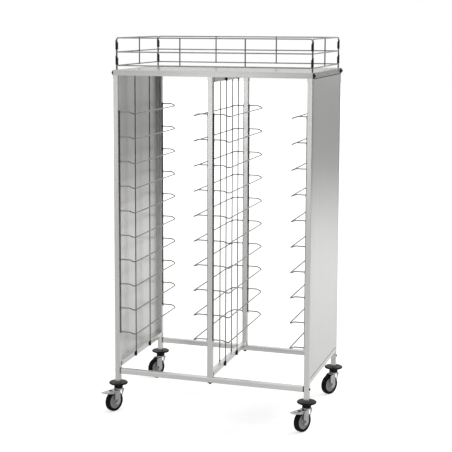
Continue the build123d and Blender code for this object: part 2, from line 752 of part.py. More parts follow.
def whole_trolley():
    """Every piece by name, each a list of solids."""
    parts = {}
    for name, (x_sign, y_sign) in corners.items():
        parts[f"corner_post_{name}"] = [corner_post(x_sign, y_sign)]
    for name, y_sign in (("front", -1), ("rear", 1)):
        y = y_sign * post_y
        middle_post = square_tube(upper_rail_height - middle_post_foot)
        parts[f"middle_post_{name}"] = [Pos(0, y, middle_post_foot) * middle_post]
        parts[f"lower_rail_{name}"] = [lower_cross_rail(y)]
        parts[f"upper_rail_{name}"] = [tube_along_x(post_inner_x, y, upper_rail_height)]
    for name, x, lower_height, upper_height in (
        ("left", -side_rail_x, side_rail_height, upper_rail_height),
        ("middle", 0, middle_post_foot, upper_middle_rail_height),
        ("right", side_rail_x, side_rail_height, upper_rail_height),
    ):
        parts[f"lower_rail_{name}"] = [tube_along_y(post_inner_y, x, lower_height)]
        parts[f"upper_rail_{name}"] = [tube_along_y(post_inner_y, x, upper_height)]
    plug_hole = Pos(hole_plug_place, -post_y, front_rail_height) * Cylinder(
        hole_plug_shank / 2 + plug_clearance, 4 * tube_wall
    )
    parts["lower_rail_front"] = [parts["lower_rail_front"][0] - plug_hole]
    parts["top_sheet"] = [top_sheet()]
    parts["side_panel_left"] = [side_panel(-1)]
    parts["side_panel_right"] = [side_panel(1)]
    parts["panel_seals"] = panel_seals()
    parts["rack_left"] = rack(-post_inner_x, 1)
    parts["rack_middle_left"] = rack(-tube_side / 2, -1)
    parts["rack_middle_right"] = rack(tube_side / 2, 1)
    parts["rack_right"] = rack(post_inner_x, -1)
    parts["guard_wires"] = guard_wires()
    parts["guard_clips"] = guard_clips()
    parts.update(gallery())
    parts["gallery_clips"] = gallery_clips()
    parts["frame_bolts"] = frame_bolts() + frame_nuts()
    parts["frame_washers"] = frame_washers()
    parts["rail_end_plugs"] = rail_end_plugs()
    parts["rail_screws"] = rail_screws()
    parts["post_inserts"] = post_inserts()
    parts["rail_hole_plug"] = [rail_hole_plug()]
    parts["caster_bumpers"] = [place * caster_bumper() for place in upright_places()]
    parts["caster_collars"] = [place * caster_collar() for place in upright_places()]
    parts["caster_stems"] = [place * caster_stem() for place in upright_places()]
    plain_fork, pedal_fork = fork(), braked_fork()
    for name in corners:
        place = caster_place(name)
        braked = name in braked_casters
        parts[f"fork_{name}"] = [place * (pedal_fork if braked else plain_fork)]
        parts[f"axle_set_{name}"] = [place * piece for piece in axle_set()]
        parts[f"hub_{name}"] = [place * hub()]
        parts[f"tyre_{name}"] = [place * tyre()]
        if braked:
            parts[f"pedal_{name}"] = [place * pedal()]
            parts[f"pedal_rivets_{name}"] = [place * rivet for rivet in pedal_rivets()]
    return parts


os.makedirs("parts", exist_ok=True)
to_origin = Pos(origin_x, origin_y, 0)
for name, pieces in whole_trolley().items():
    solids = [solid for piece in pieces for solid in (to_origin * piece).solids()]
    export_step(Compound(solids), f"parts/{name}.step")
print("frame's middle from the origin:", origin_x, origin_y)
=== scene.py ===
"""Finishes, welds, lips, studio and camera of a gastronorm tray trolley in stainless steel."""

import json
import logging
from dataclasses import dataclass
from enum import Enum
from math import cos, pi, radians, sin
from typing import Any, Iterable

import bpy
from mathutils import Matrix, Vector

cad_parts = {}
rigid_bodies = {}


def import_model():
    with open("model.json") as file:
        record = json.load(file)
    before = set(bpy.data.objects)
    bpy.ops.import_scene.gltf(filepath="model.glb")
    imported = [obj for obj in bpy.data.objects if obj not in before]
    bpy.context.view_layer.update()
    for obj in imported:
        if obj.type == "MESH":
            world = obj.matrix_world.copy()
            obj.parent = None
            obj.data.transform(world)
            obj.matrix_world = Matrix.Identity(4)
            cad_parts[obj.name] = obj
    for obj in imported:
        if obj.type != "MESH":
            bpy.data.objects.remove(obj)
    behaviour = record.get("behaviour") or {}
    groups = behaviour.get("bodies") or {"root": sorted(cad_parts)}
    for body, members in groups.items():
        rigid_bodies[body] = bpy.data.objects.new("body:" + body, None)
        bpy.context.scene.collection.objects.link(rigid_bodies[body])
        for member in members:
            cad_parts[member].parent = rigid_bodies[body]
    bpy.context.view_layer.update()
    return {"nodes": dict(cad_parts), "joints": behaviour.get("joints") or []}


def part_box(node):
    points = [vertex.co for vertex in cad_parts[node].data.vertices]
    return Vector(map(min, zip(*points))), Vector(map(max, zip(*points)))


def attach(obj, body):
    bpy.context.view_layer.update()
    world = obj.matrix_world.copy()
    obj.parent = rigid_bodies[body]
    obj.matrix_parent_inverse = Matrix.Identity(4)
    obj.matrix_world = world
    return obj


log = logging.getLogger("trolley")

MM = 0.001
SMOOTH_ANGLE = radians(40)
SAME_HEIGHT = 0.01 * MM


class Axis(Enum):
    """A direction of the trolley."""

    X = 0
    Y = 1
    Z = 2


def linear(code: str) -> tuple[float, float, float, float]:
    """Turn a colour as written for a screen into the renderer's linear values.

    Args:
        code: sRGB colour as "#RRGGBB".

    Returns:
        Linear red, green and blue, and an alpha of 1.
    """
    parts = [int(code[i : i + 2], 16) / 255 for i in (1, 3, 5)]
    red, green, blue = [c / 12.92 if c <= 0.04045 else ((c + 0.055) / 1.055) ** 2.4 for c in parts]
    return red, green, blue, 1.0


def add_node(
    tree: bpy.types.NodeTree, kind: str, inputs: dict[Any, Any], **settings: Any
) -> bpy.types.Node:
    """Add a node, set its options, and fill or link its inputs.

    Args:
        tree: The node tree that takes the node.
        kind: The node's type name.
        inputs: Values or output sockets by input name or number.
        settings: The node's own options.

    Returns:
        The new node.
    """
    node = tree.nodes.new(kind)
    for name, value in settings.items():
        setattr(node, name, value)
    for name, value in inputs.items():
        if isinstance(value, bpy.types.NodeSocket):
            tree.links.new(value, node.inputs[name])
        else:
            node.inputs[name].default_value = value
    return node


def grained(length: float, width: float, grain: Axis) -> tuple[float, float, float]:
    """Scale of object coordinates that stretches a pattern along the grain.

    Args:
        length: How long a streak is, in millimetres.
        width: How wide a streak is, in millimetres.
        grain: The direction of the streaks.

    Returns:
        Pattern cells per metre along X, Y and Z.
    """
    scale = [1 / (width * MM)] * 3
    scale[grain.value] = 1 / (length * MM)
    return scale[0], scale[1], scale[2]


@dataclass(frozen=True)
class BrushedSteel:
    """Stainless steel that was brushed or ground along its length.

    The brushing smears what the steel reflects across the grain and leaves it sharper along it.
    It gives the eye long soft streaks, and rolled sheet keeps broad bands a few centimetres wide.
    Real streaks are about a tenth of a millimetre wide, so they are drawn coarser in order to show.
    Widths and lengths are in millimetres. Each pair of low and high is the stretch of a pattern that
    goes from one tone, or one roughness, to the other. The quarter turn lays the smear across the grain.
    """

    name: str
    grain: Axis
    colour: str = "#E0E0DE"
    dark_colour: str = "#CFCFCD"
    roughness: float = 0.3
    smear: float = 0.55
    streak_width: float = 1.6
    streak_length: float = 400.0
    band_width: float = 38.0
    band_length: float = 2600.0
    bump: float = 0.03
    unevenness: float = 0.08
    tone_low: float = 0.1
    tone_high: float = 0.4
    rough_low: float = 0.25
    rough_high: float = 0.75
    quarter_turn: float = 0.25

    def build(self) -> bpy.types.Material:
        """Build the material.

        Returns:
            The steel, brushed along its grain.
        """
        material = bpy.data.materials.new(self.name)
        material.use_nodes = True
        tree = material.node_tree
        shader = tree.nodes["Principled BSDF"]
        place = add_node(tree, "ShaderNodeTexCoord", {})
        fine_scale = grained(self.streak_length, self.streak_width, self.grain)
        fine_place = add_node(
            tree, "ShaderNodeMapping", {"Vector": place.outputs["Object"], "Scale": fine_scale}
        )
        fine = add_node(
            tree, "ShaderNodeTexNoise", {"Vector": fine_place.outputs[0], "Scale": 1.0, "Detail": 3.0}
        )
        band_scale = grained(self.band_length, self.band_width, self.grain)
        band_place = add_node(
            tree, "ShaderNodeMapping", {"Vector": place.outputs["Object"], "Scale": band_scale}
        )
        bands = add_node(
            tree, "ShaderNodeTexNoise", {"Vector": band_place.outputs[0], "Scale": 1.0, "Detail": 2.0}
        )
        both = add_node(
            tree, "ShaderNodeMath", {0: fine.outputs[0], 1: bands.outputs[0]}, operation="MULTIPLY"
        )
        tone = add_node(
            tree, "ShaderNodeMapRange",
            {
                "Value": both.outputs[0], "From Min": self.tone_low, "From Max": self.tone_high,
                "To Min": 0.0, "To Max": 1.0,
            },
        )
        colour = add_node(
            tree, "ShaderNodeMix",
            {"Factor": tone.outputs[0], 6: linear(self.dark_colour), 7: linear(self.colour)},
            data_type="RGBA",
        )
        rough = add_node(
            tree, "ShaderNodeMapRange",
            {
                "Value": bands.outputs[0], "From Min": self.rough_low, "From Max": self.rough_high,
                "To Min": self.roughness * (1 + self.unevenness),
                "To Max": self.roughness * (1 - self.unevenness),
            },
        )
        bump = add_node(
            tree, "ShaderNodeBump",
            {"Height": fine.outputs[0], "Strength": self.bump, "Distance": self.streak_width * MM},
        )
        direction = [0.0, 0.0, 0.0]
        direction[self.grain.value] = 1.0
        along = add_node(
            tree, "ShaderNodeVectorTransform", {0: direction},
            vector_type="VECTOR", convert_from="OBJECT", convert_to="WORLD",
        )
        tree.links.new(along.outputs[0], shader.inputs["Tangent"])
        tree.links.new(colour.outputs[2], shader.inputs["Base Color"])
        tree.links.new(rough.outputs[0], shader.inputs["Roughness"])
        tree.links.new(bump.outputs[0], shader.inputs["Normal"])
        shader.inputs["Metallic"].default_value = 1.0
        shader.inputs["Anisotropic"].default_value = self.smear
        shader.inputs["Anisotropic Rotation"].default_value = self.quarter_turn
        return material


@dataclass(frozen=True)
class SpeckledSurface:
    """A surface with a fine even speckle, such as plated metal, moulded plastic or rubber.

    Plating gives the eye a bright uneven sheen, moulded plastic a soft satin one, and rubber
    a dull bloom that lifts where hands and floors have rubbed it. The real speckle is finer than the
    render shows, so it is drawn at the width in millimetres that each finish gives. A patch is so many
    speckles wide, and the relief is the speckle's height as a share of its width. A metal keeps the
    shader's own refraction.
    """

    name: str
    colour: str
    worn_colour: str
    metallic: float
    roughness: float
    roughness_spread: float
    speckle: float
    bump: float
    refraction: float = 1.5
    patch: float = 18.0
    relief: float = 0.2
    tone_low: float = 0.35
    tone_high: float = 0.7
    rough_low: float = 0.3
    rough_high: float = 0.7

    def build(self) -> bpy.types.Material:
        """Build the material.

        Returns:
            The speckled metal, plastic or rubber.
        """
        material = bpy.data.materials.new(self.name)
        material.use_nodes = True
        tree = material.node_tree
        shader = tree.nodes["Principled BSDF"]
        place = add_node(tree, "ShaderNodeTexCoord", {})
        speckle = add_node(
            tree, "ShaderNodeTexNoise",
            {"Vector": place.outputs["Object"], "Scale": 1 / (self.speckle * MM), "Detail": 4.0},
        )
        patches = add_node(
            tree, "ShaderNodeTexNoise",
            {
                "Vector": place.outputs["Object"], "Scale": 1 / (self.speckle * self.patch * MM),
                "Detail": 3.0,
            },
        )
        tone = add_node(
            tree, "ShaderNodeMapRange",
            {
                "Value": patches.outputs[0], "From Min": self.tone_low, "From Max": self.tone_high,
                "To Min": 0.0, "To Max": 1.0,
            },
        )
        colour = add_node(
            tree, "ShaderNodeMix",
            {"Factor": tone.outputs[0], 6: linear(self.colour), 7: linear(self.worn_colour)},
            data_type="RGBA",
        )
        rough = add_node(
            tree, "ShaderNodeMapRange",
            {
                "Value": patches.outputs[0], "From Min": self.rough_low, "From Max": self.rough_high,
                "To Min": self.roughness - self.roughness_spread,
                "To Max": self.roughness + self.roughness_spread,
            },
        )
        bump = add_node(
            tree, "ShaderNodeBump",
            {
                "Height": speckle.outputs[0], "Strength": self.bump,
                "Distance": self.speckle * self.relief * MM,
            },
        )
        tree.links.new(colour.outputs[2], shader.inputs["Base Color"])
        tree.links.new(rough.outputs[0], shader.inputs["Roughness"])
        tree.links.new(bump.outputs[0], shader.inputs["Normal"])
        shader.inputs["Metallic"].default_value = self.metallic
        if self.metallic < 1.0:
            shader.inputs["IOR"].default_value = self.refraction
        return material


class Finishes:
    """Every finish of the trolley, and which pieces of the frame wear it."""

    def __init__(self) -> None:
        """Build all the materials."""
        # Square tube, ground lengthwise: a satin sheen with long reflections along each tube.
        self.tube_x = BrushedSteel("satin_stainless_tube_x", Axis.X, roughness=0.26).build()
        self.tube_y = BrushedSteel("satin_stainless_tube_y", Axis.Y, roughness=0.26).build()
        self.tube_z = BrushedSteel("satin_stainless_tube_z", Axis.Z, roughness=0.26).build()
        # Rolled sheet, brushed from left to right: a greyer sheen than the tubes', with faint level bands.
        self.deck = BrushedSteel(
            "brushed_stainless_deck", Axis.X, colour="#BDBDBB", dark_colour="#B0B0AE", roughness=0.27
        ).build()
        # Rolled sheet, brushed upright and more evenly: a broad soft sheen with hardly a streak.
        self.panel = BrushedSteel(
            "brushed_stainless_panel", Axis.Z, dark_colour="#DCDCDA", roughness=0.32, bump=0.01,
            unevenness=0.06,
        ).build()
        # Wire drawn bright through a die: thin lines that glint along their length.
        self.wire = SpeckledSurface(
            "bright_drawn_stainless_wire", "#8C8C8A", "#7E7E7C",
            metallic=1.0, roughness=0.2, roughness_spread=0.05, speckle=1.2, bump=0.03,
        ).build()
        # Thinner drawn wire that was left satin: darker lines with hardly a glint.
        self.guard_wire = SpeckledSurface(
            "satin_drawn_stainless_wire", "#5C5C5B", "#50504F",
            metallic=1.0, roughness=0.27, roughness_spread=0.05, speckle=1.2, bump=0.04,
        ).build()
        # Weld metal with its tint brushed off: dull warm grey, a little rough.
        self.weld = SpeckledSurface(
            "cleaned_weld_steel", "#8E8C87", "#76726A",
            metallic=1.0, roughness=0.38, roughness_spread=0.08, speckle=1.0, bump=0.25,
        ).build()
        # Pressed steel with bright zinc plate: a clear cool sheen, slightly mottled.
        self.zinc = SpeckledSurface(
            "bright_zinc_plate", "#B9BABB", "#A5A7A8",
            metallic=1.0, roughness=0.24, roughness_spread=0.06, speckle=2.0, bump=0.05,
        ).build()
        # Screw heads whose zinc has dulled: small dark grey dots on the posts.
        self.dull_zinc = SpeckledSurface(
            "dulled_zinc_screw", "#4C4C4B", "#3B3B3A",
            metallic=1.0, roughness=0.35, roughness_spread=0.06, speckle=1.0, bump=0.08,
        ).build()
        # Blackened steel bolts: near black with a faint light on their edges.
        self.black_steel = SpeckledSurface(
            "blackened_bolt_steel", "#161616", "#202020",
            metallic=0.0, roughness=0.4, roughness_spread=0.06, speckle=1.0, bump=0.1, refraction=1.4,
        ).build()
        # Moulded nylon clips, plugs and washers: satin black.
        self.black = SpeckledSurface(
            "black_moulded_nylon", "#0D0D0D", "#141414",
            metallic=0.0, roughness=0.45, roughness_spread=0.06, speckle=0.8, bump=0.1, refraction=1.3,
        ).build()
        # Matt black strip under the deck's flange: painted shadow of the joint above the panels.
        self.joint_shadow_strip = SpeckledSurface(
            "black_strip_painted_joint_shadow", "#0C0C0C", "#121212",
            metallic=0.0, roughness=0.65, roughness_spread=0.06, speckle=0.8, bump=0.1, refraction=1.2,
        ).build()
        # Moulded bumper discs: black with a soft light along the rim.
        self.rubber = SpeckledSurface(
            "black_bumper_rubber", "#090909", "#101010",
            metallic=0.0, roughness=0.36, roughness_spread=0.08, speckle=1.5, bump=0.1, refraction=1.2,
        ).build()
        # Moulded tyres: matt black that floors have rubbed a little paler.
        self.tyre = SpeckledSurface(
            "black_tyre_rubber", "#0B0B0B", "#131312",
            metallic=0.0, roughness=0.6, roughness_spread=0.08, speckle=2.0, bump=0.15, refraction=1.2,
        ).build()
        # Moulded wheel centres: plain mid grey with a soft sheen.
        self.hub = SpeckledSurface(
            "grey_moulded_hub", "#A4A4A4", "#989898",
            metallic=0.0, roughness=0.4, roughness_spread=0.06, speckle=1.2, bump=0.06,
        ).build()

    def for_node(self, name: str) -> bpy.types.Material:
        """Choose the finish of a piece of the frame.

        Args:
            name: The piece's name.

        Returns:
            Its material.
        """
        along_y = ("_left", "_middle", "_right")
        moulded = ("plug", "clips", "insert", "collar", "washer")
        if any(word in name for word in moulded):
            return self.black
        if name == "frame_bolts":
            return self.black_steel
        # The panels' black strip paints the shadow of their joint with the deck.
        if name == "panel_seals":
            return self.joint_shadow_strip
        if name == "rail_screws":
            return self.dull_zinc
        if name == "caster_stems":
            return self.zinc
        if "rail_" in name:
            return self.tube_y if name.endswith(along_y) else self.tube_x
        if "post" in name:
            return self.tube_z
        if name == "top_sheet":
            return self.deck
        if "panel" in name:
            return self.panel
        if name == "guard_wires":
            return self.guard_wire
        if name.startswith(("rack", "gallery")):
            return self.wire
        if "bumper" in name:
            return self.rubber
        if "tyre" in name:
            return self.tyre
        if "hub" in name:
            return self.hub
        return self.zinc


def select_only(thing: bpy.types.Object | None = None) -> None:
    """Leave nothing selected, or only one object, which is then the active one.

    Args:
        thing: The object to select.
    """
    for other in bpy.context.view_layer.objects:
        other.select_set(False)
    if thing is not None:
        thing.select_set(True)
        bpy.context.view_layer.objects.active = thing


def select_points(thing: bpy.types.Object, chosen: Iterable[int]) -> None:
    """Select some points of a mesh in edit mode, by number.

    Args:
        thing: The object in edit mode.
        chosen: Numbers of the points.
    """
    bpy.ops.mesh.select_mode(type="VERT")
    bpy.ops.mesh.select_all(action="DESELECT")
    bpy.ops.object.mode_set(mode="OBJECT")
    for number in chosen:
        thing.data.vertices[number].select = True
    bpy.ops.object.mode_set(mode="EDIT")


def copies(model: bpy.types.Object, places: list[Matrix], name: str) -> bpy.types.Object:
    """Set copies of a model at their places and join them into one piece.

    Args:
        model: The piece to copy, made about the origin. It is removed afterwards.
        places: Where each copy goes.
        name: Name of the joined piece.

    Returns:
        The joined piece, with its place in its mesh.
    """
    made = []
    for place in places:
        twin = bpy.data.objects.new(name, model.data.copy())
        bpy.context.scene.collection.objects.link(twin)
        twin.data.transform(place)
        made.append(twin)
    bpy.data.objects.remove(model)
    select_only(made[0])
    for twin in made:
        twin.select_set(True)
    bpy.ops.object.join()
    joined = bpy.context.view_layer.objects.active
    joined.name = name
    joined.data.name = name
    return joined


def finish_piece(piece: bpy.types.Object, material: bpy.types.Material, body: str) -> None:
    """Smooth a new piece, dress it and tie it to the body that carries it.

    Args:
        piece: The new piece.
        material: Its finish.
        body: The body that it moves with.
    """
    select_only(piece)
    bpy.ops.object.shade_smooth_by_angle(angle=SMOOTH_ANGLE)
    piece.data.materials.clear()
    piece.data.materials.append(material)
    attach(piece, body)
    log.info("%s: %d faces on %s", piece.name, len(piece.data.polygons), body)


@dataclass
class WireWelds:
    """Resistance welds where the wires of the racks and the gallery touch one another.

    The wires' thicknesses and the levels' heights are those of the frame. Flatness and squeeze scale the
    nugget along and across its short axis, and the waist is a share of its size.
    """

    finishes: Finishes
    size: float = 5.4 * MM
    flatness: float = 0.6
    waist: float = 0.1
    squeeze: float = 1.12
    wire: float = 6.0 * MM
    upright: float = 5.0 * MM
    level_count: int = 10
    level_pitch: float = 120.0 * MM
    upright_overrun: float = 6.0 * MM
    gallery_low: float = 20.0 * MM
    gallery_middle: float = 84.6 * MM
    gallery_top: float = 151.5 * MM
    gallery_spacing: float = 320.0 * MM

    def nugget(self) -> bpy.types.Object:
        """Model one weld: a small ball pressed flat, which swells at its waist where the wires squeeze it.

        Returns:
            The weld about the origin, flat along Z.
        """
        select_only()
        bpy.ops.mesh.primitive_uv_sphere_add(segments=10, ring_count=7, radius=self.size / 2)
        ball = bpy.context.view_layer.objects.active
        bpy.ops.object.mode_set(mode="EDIT")
        bpy.ops.mesh.select_all(action="SELECT")
        bpy.ops.transform.resize(value=(1, 1, self.flatness), center_override=(0, 0, 0))
        middle = [v.index for v in ball.data.vertices if abs(v.co.z) < self.size * self.waist]
        select_points(ball, middle)
        bpy.ops.transform.resize(value=(self.squeeze, self.squeeze, 1), center_override=(0, 0, 0))
        bpy.ops.object.mode_set(mode="OBJECT")
        return ball

    def rack_places(self, name: str) -> list[Matrix]:
        """Find the welds of one rack, between its bent wires and its two uprights.

        Args:
            name: The rack's piece of the frame.

        Returns:
            A place for each weld, turned so that its flat sides face along X.
        """
        low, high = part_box(name)
        inward = 1 if name in ("rack_left", "rack_middle_right") else -1
        face_x = low.x if inward > 0 else high.x
        turn = Matrix.Rotation(pi / 2, 4, "Y")
        places = []
        for level in range(self.level_count):
            height = low.z + self.upright_overrun + level * self.level_pitch
            for y in (low.y + self.wire / 2, high.y - self.wire / 2):
                spot = Vector((face_x + inward * self.upright, y, height))
                places.append(Matrix.Translation(spot) @ turn)
        return places

    def gallery_places(self, name: str) -> list[Matrix]:
        """Find the welds of one side of the gallery, between its uprights, its level wires and its legs.

        Args:
            name: The side's piece of the frame.

        Returns:
            A place for each weld.
        """
        low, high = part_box(name)
        deck = low.z
        lengthwise = name in ("gallery_front", "gallery_rear")
        inward = 1 if name in ("gallery_front", "gallery_left") else -1
        run = Axis.X if lengthwise else Axis.Y
        across = Axis.Y if lengthwise else Axis.X
        outside = low[across.value] if inward > 0 else high[across.value]
        middle = (low[run.value] + high[run.value]) / 2
        spots = (-self.gallery_spacing / 2, self.gallery_spacing / 2) if lengthwise else (0.0,)
        turn = Matrix.Rotation(pi / 2, 4, "X" if lengthwise else "Y")
        places = []
        for spot in spots:
            for height in (self.gallery_low, self.gallery_middle, self.gallery_top):
                point = Vector((0, 0, deck + height))
                point[run.value] = middle + spot
                point[across.value] = outside + inward * self.wire
                places.append(Matrix.Translation(point) @ turn)
        return places

    def build(self) -> None:
        """Build the welds of all racks and gallery sides."""
        for name in ("rack_left", "rack_middle_left", "rack_middle_right", "rack_right"):
            piece = copies(self.nugget(), self.rack_places(name), f"welds_{name}")
            finish_piece(piece, self.finishes.weld, "frame")
        for name in ("gallery_front", "gallery_rear", "gallery_left", "gallery_right"):
            piece = copies(self.nugget(), self.gallery_places(name), f"welds_{name}")
            finish_piece(piece, self.finishes.weld, "frame")


@dataclass
class PanelLips:
    """Folded lips at the panels' feet, which close the joint with the rail on its inner side.

    The edge is the rounding of the fold as a share of the sheet.
    """

    finishes: Finishes
    sheet: float = 0.8 * MM
    rise: float = 1.0 * MM
    foot: float = 2.4 * MM
    edge: float = 0.3

    def lip(self, side: str, inward: int) -> bpy.types.Object:
        """Model the lip of one panel: an upright strip with a foot folded under the panel.

        Args:
            side: "left" or "right".
            inward: 1 where the inside of the trolley lies towards +X, otherwise -1.

        Returns:
            The lip, with its place in its mesh.
        """
        low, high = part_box(f"side_panel_{side}")
        rail_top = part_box(f"lower_rail_{side}")[1].z
        face = high.x if inward > 0 else low.x
        top = low.z + self.rise
        select_only()
        bpy.ops.mesh.primitive_plane_add(size=1.0)
        strip = bpy.context.view_layer.objects.active
        middle = Vector((face + inward * self.sheet / 2, (low.y + high.y) / 2, (rail_top + top) / 2))
        stretch = Matrix.Diagonal((top - rail_top, high.y - low.y, 1, 1))
        strip.data.transform(Matrix.Translation(middle) @ Matrix.Rotation(pi / 2, 4, "Y") @ stretch)
        foot = [edge.index for edge in strip.data.edges if self.is_foot(strip, edge, rail_top)]
        bpy.ops.object.mode_set(mode="EDIT")
        bpy.ops.mesh.select_mode(type="EDGE")
        bpy.ops.mesh.select_all(action="DESELECT")
        bpy.ops.object.mode_set(mode="OBJECT")
        for number in foot:
            strip.data.edges[number].select = True
        bpy.ops.object.mode_set(mode="EDIT")
        bpy.ops.mesh.extrude_region_move(TRANSFORM_OT_translate={"value": (-inward * self.foot, 0, 0)})
        bpy.ops.object.mode_set(mode="OBJECT")
        strip.data.transform(Matrix.Translation((0, 0, self.sheet / 2)))
        thick = strip.modifiers.new("sheet", "SOLIDIFY")
        thick.thickness = self.sheet
        thick.offset = 0
        bevel = strip.modifiers.new("fold", "BEVEL")
        bevel.width = self.sheet * self.edge
        bevel.segments = 2
        for modifier in (thick.name, bevel.name):
            bpy.ops.object.modifier_apply(modifier=modifier)
        strip.name = f"panel_lip_{side}"
        return strip

    @staticmethod
    def is_foot(strip: bpy.types.Object, edge: bpy.types.MeshEdge, height: float) -> bool:
        """Tell whether both ends of an edge lie at a height."""
        return all(abs(strip.data.vertices[v].co.z - height) < SAME_HEIGHT for v in edge.vertices)

    def build(self) -> None:
        """Build the lips of both panels."""
        for side, inward in (("left", 1), ("right", -1)):
            finish_piece(self.lip(side, inward), self.finishes.panel, "frame")


@dataclass
class TyreLips:
    """Rubber lips of the tyres, which lap over the rims of the wheel centres on both faces.

    The inner edge begins at a share of the breadth from the ring's middle line, and it is drawn down by
    another share.
    """

    finishes: Finishes
    joints: list[dict[str, Any]]
    radius: float = 37.1 * MM
    breadth: float = 3.8 * MM
    flatness: float = 0.48
    half_width: float = 10.9 * MM
    inner_edge: float = 0.4
    draw_down: float = 0.12

    def lip(self) -> bpy.types.Object:
        """Model one lip about Z: a flattened ring with its inner edge drawn down to the rim.

        Returns:
            The lip, with its outer face towards +Z.
        """
        select_only()
        bpy.ops.mesh.primitive_torus_add(
            major_segments=56, minor_segments=10, major_radius=self.radius, minor_radius=self.breadth / 2
        )
        ring = bpy.context.view_layer.objects.active
        bpy.ops.object.mode_set(mode="EDIT")
        bpy.ops.mesh.select_all(action="SELECT")
        bpy.ops.transform.resize(value=(1, 1, self.flatness), center_override=(0, 0, 0))
        inner_radius = self.radius - self.breadth * self.inner_edge
        inner = [v.index for v in ring.data.vertices if v.co.xy.length < inner_radius]
        select_points(ring, inner)
        bpy.ops.transform.translate(value=(0, 0, -self.breadth * self.draw_down))
        bpy.ops.object.mode_set(mode="OBJECT")
        return ring

    def places(self, joint: dict[str, Any]) -> list[Matrix]:
        """Find both faces of one wheel.

        Args:
            joint: The joint that the wheel rolls on.

        Returns:
            A place for each face, turned so that the lip looks outwards.
        """
        axle = Matrix.Translation(joint["pos_m"])
        found = []
        for side in (1, -1):
            outwards = side * Vector(joint["axis"])
            turn = Vector((0, 0, 1)).rotation_difference(outwards).to_matrix().to_4x4()
            found.append(axle @ turn @ Matrix.Translation((0, 0, self.half_width)))
        return found

    def build(self) -> None:
        """Build the two lips of each wheel."""
        for joint in self.joints:
            if joint["name"].startswith("roll_"):
                corner = joint["name"].removeprefix("roll_")
                piece = copies(self.lip(), self.places(joint), f"tyre_lips_{corner}")
                finish_piece(piece, self.finishes.tyre, joint["child"])


@dataclass
class TubeWelds:
    """Rippled fillet welds where the rails that run from front to back meet the posts."""

    finishes: Finishes
    tube: float = 25.0 * MM
    bead: float = 1.3 * MM
    ripples: int = 9
    swell: float = 1.28
    end_margin: float = 2.4 * MM

    def seam(self) -> bpy.types.Object:
        """Model one weld along X: a slim rod, ringed and swollen at every other ring.

        Returns:
            The weld about the origin.
        """
        length = self.tube - 2 * self.end_margin
        select_only()
        bpy.ops.mesh.primitive_cylinder_add(vertices=8, radius=self.bead, depth=length)
        rod = bpy.context.view_layer.objects.active
        bpy.ops.object.mode_set(mode="EDIT")
        for ring in range(1, 2 * self.ripples):
            height = -length / 2 + ring * length / (2 * self.ripples)
            bpy.ops.mesh.select_all(action="SELECT")
            bpy.ops.mesh.bisect(plane_co=(0, 0, height), plane_no=(0, 0, 1))
        bpy.ops.object.mode_set(mode="OBJECT")
        step = length / (2 * self.ripples)
        swollen = [v.index for v in rod.data.vertices if round((v.co.z + length / 2) / step) % 2 == 1]
        bpy.ops.object.mode_set(mode="EDIT")
        select_points(rod, swollen)
        bpy.ops.transform.resize(value=(self.swell, self.swell, 1), center_override=(0, 0, 0))
        bpy.ops.object.mode_set(mode="OBJECT")
        rod.data.transform(Matrix.Rotation(pi / 2, 4, "Y"))
        return rod

    def places(self, rail: str) -> list[Matrix]:
        """Find the seams around both ends of a rail.

        Args:
            rail: The rail's piece of the frame.

        Returns:
            A place for each seam: below and on the open sides of each end.
        """
        low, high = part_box(rail)
        middle = (low + high) / 2
        upright = Matrix.Rotation(pi / 2, 4, "Y")
        sides = {"left": (high.x,), "right": (low.x,), "middle": (low.x, high.x)}[rail.rsplit("_", 1)[1]]
        found = []
        for y in (low.y, high.y):
            found.append(Matrix.Translation((middle.x, y, low.z)))
            for x in sides:
                found.append(Matrix.Translation((x, y, middle.z)) @ upright)
        return found

    def build(self) -> None:
        """Build the seams of all rails that run from front to back."""
        rails = [
            f"{height}_rail_{side}" for height in ("lower", "upper") for side in ("left", "middle", "right")
        ]
        for rail in rails:
            piece = copies(self.seam(), self.places(rail), f"welds_{rail}")
            finish_piece(piece, self.finishes.weld, "frame")


